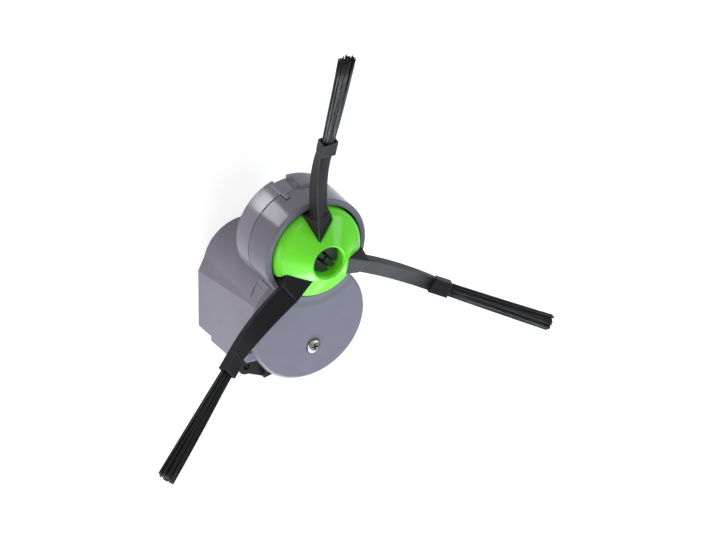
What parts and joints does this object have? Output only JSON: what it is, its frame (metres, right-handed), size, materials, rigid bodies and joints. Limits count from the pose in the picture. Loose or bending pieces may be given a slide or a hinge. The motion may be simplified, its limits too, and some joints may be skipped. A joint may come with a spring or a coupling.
{
  "type": "robot vacuum side brush module",
  "caption": "Robot vacuum side brush module: a domed hub with bristle-tipped flexible arms, turned by a geared motor in a plastic housing with a round collar, screw face and fixing ear.",
  "frame": {"origin": "on the brush axis, at the back face of the collar that surrounds the brush", "axes": "+Z along the brush axis, out of the housing towards the brush; +Y from the brush axis towards the round screw face of the cover"},
  "size_m": [0.1311, 0.1247, 0.0638],
  "materials": {
    "grey_housing": "satin moulded plastic",
    "grey_cover": "satin moulded plastic",
    "black_bracket": "satin black plastic",
    "zinc_screw": "zinc plated",
    "motor_steel": "plated sheet steel",
    "motor_cap_plastic": "black plastic",
    "brass_contact": "stamped strip",
    "ground_steel": "ground",
    "brass_pinion": "machined",
    "white_gear": "natural acetal",
    "dark_post": "satin dark plastic",
    "bronze_bushing": "sintered bronze",
    "felt": "pressed felt",
    "green_hub": "glossy moulded plastic",
    "soft_arms": "satin soft elastomer",
    "bristles": "cut nylon bristles"
  },
  "bodies": {
    "housing": {"rear_housing": "grey_housing", "front_cover": "grey_cover", "mount_bracket": "black_bracket", "cover_screw": "zinc_screw", "motor_can": "motor_steel", "motor_cap": "motor_cap_plastic", "motor_tab_left": "brass_contact", "motor_tab_right": "brass_contact", "contact_left": "brass_contact", "contact_right": "brass_contact", "motor_plate": "motor_steel", "plate_screws": "zinc_screw", "first_pin": "ground_steel", "second_pin": "ground_steel", "post_bushing": "bronze_bushing", "felt_ring": "felt"},
    "brush": {"drive_post": "dark_post", "output_gear": "white_gear", "brush_hub": "green_hub", "brush_arms": "soft_arms", "first_tuft": "bristles", "second_tuft": "bristles", "third_tuft": "bristles"},
    "second_gear": {"second_gear": "white_gear"},
    "first_gear": {"first_gear": "white_gear"},
    "rotor": {"motor_shaft": "ground_steel", "motor_pinion": "brass_pinion"}
  },
  "joints": [
    {"name": "brush_spin", "type": "hinge", "parent": "housing", "child": "brush", "pos_m": [0, 0, 0], "axis": [0, 0, 1], "continuous": true},
    {"name": "second_gear_spin", "type": "hinge", "parent": "housing", "child": "second_gear", "pos_m": [0.00073, 0.01598, 0], "axis": [0, 0, 1], "continuous": true},
    {"name": "first_gear_spin", "type": "hinge", "parent": "housing", "child": "first_gear", "pos_m": [-0.007, 0.0215, 0], "axis": [0, 0, 1], "continuous": true},
    {"name": "motor_spin", "type": "hinge", "parent": "housing", "child": "rotor", "pos_m": [0.00168, 0.0204, 0], "axis": [0, 0, 1], "continuous": true}
  ],
  "couplings": [
    {"joint": "second_gear_spin", "follows": "brush_spin", "ratio": -4.3333},
    {"joint": "first_gear_spin", "follows": "brush_spin", "ratio": 12.133},
    {"joint": "motor_spin", "follows": "brush_spin", "ratio": -30.333}
  ]
}
